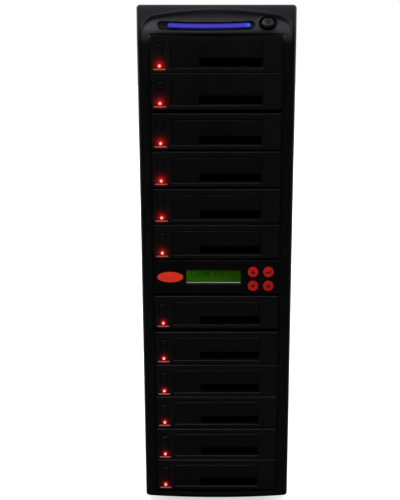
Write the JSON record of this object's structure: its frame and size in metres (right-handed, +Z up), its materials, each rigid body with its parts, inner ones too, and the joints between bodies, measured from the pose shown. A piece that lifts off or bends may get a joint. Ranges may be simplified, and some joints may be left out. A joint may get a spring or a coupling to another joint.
{
  "type": "hard drive duplicator",
  "caption": "Black tower that copies hard drives, with a column of front-loading racks behind push-in flaps, a control panel with a lit display and round keys, and a lit top bar.",
  "frame": {"origin": "on the floor under the middle of the tower's box", "axes": "+Z up, -Y out of the front with the racks, +X to the right as seen from the front"},
  "size_m": [0.1788, 0.41, 0.6163],
  "materials": {
    "bezel_plastic": "fine-textured black moulding",
    "rack_plastic": "fine-textured black moulding",
    "flap_plastic": "satin black moulding",
    "key_plastic": "satin black moulding",
    "button_plastic": "glossy dark silver cap",
    "red_keys": "red translucent keys",
    "badge_red": "red domed oval, bare",
    "light_bar": "lit blue rod",
    "red_lamp": "lit red lamp",
    "clear_guide": "clear bar",
    "display_frame": "dark display frame and green backlight",
    "display_glass": "clear window",
    "cage_plastic": "black moulded cage",
    "fan_plastic": "black moulding",
    "board": "green circuit board",
    "black_steel": "black powder coat",
    "plated_steel": "zinc-plated steel",
    "entry_plastic": "black moulding",
    "knob_metal": "black knurled heads",
    "foot_rubber": "black rubber"
  },
  "bodies": {
    "tower": {"front_bezel": "bezel_plastic", "rack_faces": "rack_plastic", "control_plate": "rack_plastic", "oval_badge": "badge_red", "light_bar": "light_bar", "status_lights": "red_lamp", "light_guides": "clear_guide", "display_module": "display_frame", "display_glass": "display_glass", "rack_bodies": "cage_plastic", "fan_frames": "fan_plastic", "backplanes": "board", "switch_boards": "board", "circuit_boards": "board", "top_panel": "black_steel", "left_side_cover": "black_steel", "right_side_cover": "black_steel", "base_pan": "black_steel", "front_frame": "black_steel", "left_bay_wall": "black_steel", "right_bay_wall": "black_steel", "controller_tray": "black_steel", "rear_panel": "black_steel", "power_supply": "plated_steel", "power_entry": "entry_plastic", "thumbscrews": "knob_metal", "rubber_feet": "foot_rubber"},
    "flap_01": {"rack_flap_01": "flap_plastic"},
    "key_01": {"rack_key_01": "key_plastic"},
    "flap_02": {"rack_flap_02": "flap_plastic"},
    "key_02": {"rack_key_02": "key_plastic"},
    "flap_03": {"rack_flap_03": "flap_plastic"},
    "key_03": {"rack_key_03": "key_plastic"},
    "flap_04": {"rack_flap_04": "flap_plastic"},
    "key_04": {"rack_key_04": "key_plastic"},
    "flap_05": {"rack_flap_05": "flap_plastic"},
    "key_05": {"rack_key_05": "key_plastic"},
    "flap_06": {"rack_flap_06": "flap_plastic"},
    "key_06": {"rack_key_06": "key_plastic"},
    "flap_07": {"rack_flap_07": "flap_plastic"},
    "key_07": {"rack_key_07": "key_plastic"},
    "flap_08": {"rack_flap_08": "flap_plastic"},
    "key_08": {"rack_key_08": "key_plastic"},
    "flap_09": {"rack_flap_09": "flap_plastic"},
    "key_09": {"rack_key_09": "key_plastic"},
    "flap_10": {"rack_flap_10": "flap_plastic"},
    "key_10": {"rack_key_10": "key_plastic"},
    "flap_11": {"rack_flap_11": "flap_plastic"},
    "key_11": {"rack_key_11": "key_plastic"},
    "flap_12": {"rack_flap_12": "flap_plastic"},
    "key_12": {"rack_key_12": "key_plastic"},
    "up_key": {"up_key": "red_keys"},
    "down_key": {"down_key": "red_keys"},
    "enter_key": {"enter_key": "red_keys"},
    "escape_key": {"escape_key": "red_keys"},
    "power_button": {"power_button": "button_plastic"},
    "case_fan_rotor": {"case_fan_rotor": "fan_plastic"},
    "supply_fan_rotor": {"supply_fan_rotor": "fan_plastic"},
    "mains_rocker": {"mains_rocker": "entry_plastic"}
  },
  "joints": [
    {"name": "flap_01_swing", "type": "hinge", "parent": "tower", "child": "flap_01", "pos_m": [0, -0.1981, 0.5756], "axis": [1, 0, 0], "range_deg": [0, 90], "stiffness_Nm_per_rad": 0.01},
    {"name": "key_01_press", "type": "slide", "parent": "tower", "child": "key_01", "axis": [0, 1, 0], "range_m": [0, 0.002], "stiffness_N_per_m": 300},
    {"name": "flap_02_swing", "type": "hinge", "parent": "tower", "child": "flap_02", "pos_m": [0, -0.1981, 0.5338], "axis": [1, 0, 0], "range_deg": [0, 90], "stiffness_Nm_per_rad": 0.01},
    {"name": "key_02_press", "type": "slide", "parent": "tower", "child": "key_02", "axis": [0, 1, 0], "range_m": [0, 0.002], "stiffness_N_per_m": 300},
    {"name": "flap_03_swing", "type": "hinge", "parent": "tower", "child": "flap_03", "pos_m": [0, -0.1981, 0.4882], "axis": [1, 0, 0], "range_deg": [0, 90], "stiffness_Nm_per_rad": 0.01},
    {"name": "key_03_press", "type": "slide", "parent": "tower", "child": "key_03", "axis": [0, 1, 0], "range_m": [0, 0.002], "stiffness_N_per_m": 300},
    {"name": "flap_04_swing", "type": "hinge", "parent": "tower", "child": "flap_04", "pos_m": [0, -0.1981, 0.4446], "axis": [1, 0, 0], "range_deg": [0, 90], "stiffness_Nm_per_rad": 0.01},
    {"name": "key_04_press", "type": "slide", "parent": "tower", "child": "key_04", "axis": [0, 1, 0], "range_m": [0, 0.002], "stiffness_N_per_m": 300},
    {"name": "flap_05_swing", "type": "hinge", "parent": "tower", "child": "flap_05", "pos_m": [0, -0.1981, 0.4009], "axis": [1, 0, 0], "range_deg": [0, 90], "stiffness_Nm_per_rad": 0.01},
    {"name": "key_05_press", "type": "slide", "parent": "tower", "child": "key_05", "axis": [0, 1, 0], "range_m": [0, 0.002], "stiffness_N_per_m": 300},
    {"name": "flap_06_swing", "type": "hinge", "parent": "tower", "child": "flap_06", "pos_m": [0, -0.1981, 0.3582], "axis": [1, 0, 0], "range_deg": [0, 90], "stiffness_Nm_per_rad": 0.01},
    {"name": "key_06_press", "type": "slide", "parent": "tower", "child": "key_06", "axis": [0, 1, 0], "range_m": [0, 0.002], "stiffness_N_per_m": 300},
    {"name": "flap_07_swing", "type": "hinge", "parent": "tower", "child": "flap_07", "pos_m": [0, -0.1981, 0.2708], "axis": [1, 0, 0], "range_deg": [0, 90], "stiffness_Nm_per_rad": 0.01},
    {"name": "key_07_press", "type": "slide", "parent": "tower", "child": "key_07", "axis": [0, 1, 0], "range_m": [0, 0.002], "stiffness_N_per_m": 300},
    {"name": "flap_08_swing", "type": "hinge", "parent": "tower", "child": "flap_08", "pos_m": [0, -0.1981, 0.2253], "axis": [1, 0, 0], "range_deg": [0, 90], "stiffness_Nm_per_rad": 0.01},
    {"name": "key_08_press", "type": "slide", "parent": "tower", "child": "key_08", "axis": [0, 1, 0], "range_m": [0, 0.002], "stiffness_N_per_m": 300},
    {"name": "flap_09_swing", "type": "hinge", "parent": "tower", "child": "flap_09", "pos_m": [0, -0.1981, 0.1828], "axis": [1, 0, 0], "range_deg": [0, 90], "stiffness_Nm_per_rad": 0.01},
    {"name": "key_09_press", "type": "slide", "parent": "tower", "child": "key_09", "axis": [0, 1, 0], "range_m": [0, 0.002], "stiffness_N_per_m": 300},
    {"name": "flap_10_swing", "type": "hinge", "parent": "tower", "child": "flap_10", "pos_m": [0, -0.1981, 0.1408], "axis": [1, 0, 0], "range_deg": [0, 90], "stiffness_Nm_per_rad": 0.01},
    {"name": "key_10_press", "type": "slide", "parent": "tower", "child": "key_10", "axis": [0, 1, 0], "range_m": [0, 0.002], "stiffness_N_per_m": 300},
    {"name": "flap_11_swing", "type": "hinge", "parent": "tower", "child": "flap_11", "pos_m": [0, -0.1981, 0.0978], "axis": [1, 0, 0], "range_deg": [0, 90], "stiffness_Nm_per_rad": 0.01},
    {"name": "key_11_press", "type": "slide", "parent": "tower", "child": "key_11", "axis": [0, 1, 0], "range_m": [0, 0.002], "stiffness_N_per_m": 300},
    {"name": "flap_12_swing", "type": "hinge", "parent": "tower", "child": "flap_12", "pos_m": [0, -0.1981, 0.0556], "axis": [1, 0, 0], "range_deg": [0, 90], "stiffness_Nm_per_rad": 0.01},
    {"name": "key_12_press", "type": "slide", "parent": "tower", "child": "key_12", "axis": [0, 1, 0], "range_m": [0, 0.002], "stiffness_N_per_m": 300},
    {"name": "up_key_press", "type": "slide", "parent": "tower", "child": "up_key", "axis": [0, 1, 0], "range_m": [0, 0.0008], "stiffness_N_per_m": 600},
    {"name": "down_key_press", "type": "slide", "parent": "tower", "child": "down_key", "axis": [0, 1, 0], "range_m": [0, 0.0008], "stiffness_N_per_m": 600},
    {"name": "enter_key_press", "type": "slide", "parent": "tower", "child": "enter_key", "axis": [0, 1, 0], "range_m": [0, 0.0008], "stiffness_N_per_m": 600},
    {"name": "escape_key_press", "type": "slide", "parent": "tower", "child": "escape_key", "axis": [0, 1, 0], "range_m": [0, 0.0008], "stiffness_N_per_m": 600},
    {"name": "power_button_press", "type": "slide", "parent": "tower", "child": "power_button", "axis": [0, 1, 0], "range_m": [0, 0.0025], "stiffness_N_per_m": 400},
    {"name": "case_fan_rotor_spin", "type": "hinge", "parent": "tower", "child": "case_fan_rotor", "pos_m": [0, 0.18, 0.25], "axis": [0, 1, 0], "continuous": true},
    {"name": "supply_fan_rotor_spin", "type": "hinge", "parent": "tower", "child": "supply_fan_rotor", "pos_m": [-0.024, 0.18, 0.5513], "axis": [0, 1, 0], "continuous": true},
    {"name": "mains_rocker_tilt", "type": "hinge", "parent": "tower", "child": "mains_rocker", "pos_m": [0.047, 0.1935, 0.5643], "axis": [1, 0, 0], "range_deg": [0, 24]}
  ]
}
